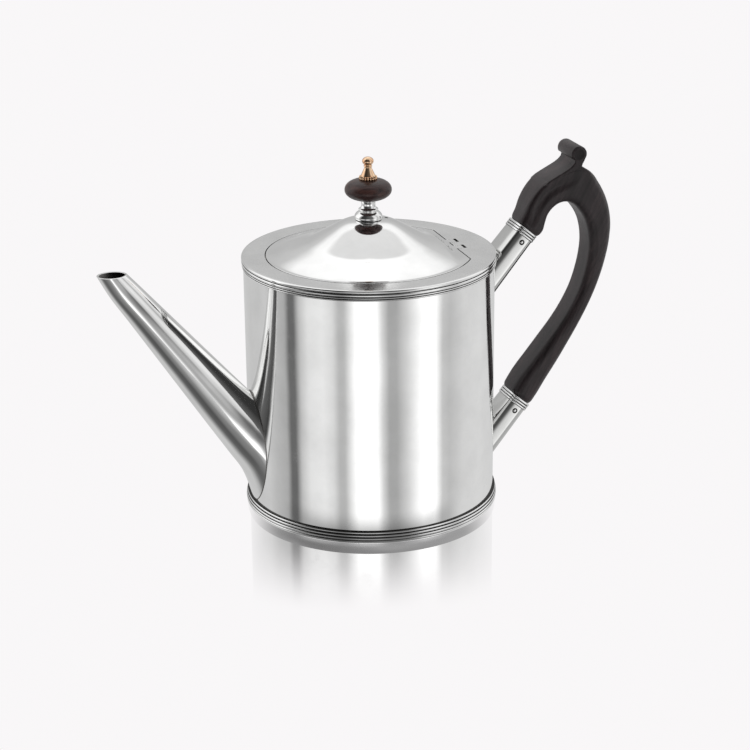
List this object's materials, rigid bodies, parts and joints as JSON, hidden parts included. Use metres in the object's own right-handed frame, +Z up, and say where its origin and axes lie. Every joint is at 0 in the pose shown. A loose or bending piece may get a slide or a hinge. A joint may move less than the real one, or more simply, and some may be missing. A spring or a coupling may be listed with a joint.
{
  "type": "silver teapot",
  "caption": "Cylindrical silver teapot with reeded rim and foot, tapered spout, flush-hinged domed lid with turned wooden finial, and carved wooden loop handle in silver sockets.",
  "frame": {"origin": "centre of the round base, on the flat face that the pot rests on", "axes": "+Z up along the drum's axis, +X from the spout towards the handle, +Y across, along the lid's hinge"},
  "size_m": [0.2226, 0.108, 0.1495],
  "materials": {
    "silver": "polished sterling silver with fine wear",
    "dark_wood": "ebonised hardwood, satin",
    "finial_wood": "dark stained hardwood, waxed",
    "gilt": "silver-gilt, polished",
    "steel": "plain turned"
  },
  "bodies": {
    "pot": {"body_wall": "silver", "base_plate": "silver", "foot_moulding": "silver", "rim_moulding": "silver", "top_plate": "silver", "lid_seat": "silver", "hinge_trough": "silver", "deck_knuckle_near": "silver", "deck_knuckle_middle": "silver", "deck_knuckle_far": "silver", "hinge_pin": "steel", "spout": "silver", "upper_socket": "silver", "upper_socket_collar": "silver", "upper_handle_pin": "silver", "lower_socket": "silver", "lower_socket_collar": "silver", "lower_handle_pin": "silver", "handle": "dark_wood"},
    "lid": {"lid": "silver", "lid_bezel": "silver", "lid_knuckle_near": "silver", "lid_knuckle_far": "silver", "finial_pedestal": "silver", "finial_button": "finial_wood", "finial_cap": "gilt", "finial_stud": "steel", "finial_washer": "silver", "finial_nut": "steel"}
  },
  "joints": [
    {"name": "lid_hinge", "type": "hinge", "parent": "pot", "child": "lid", "pos_m": [0.0389, 0, 0.1064], "axis": [0, 1, 0], "range_deg": [0, 90]}
  ]
}
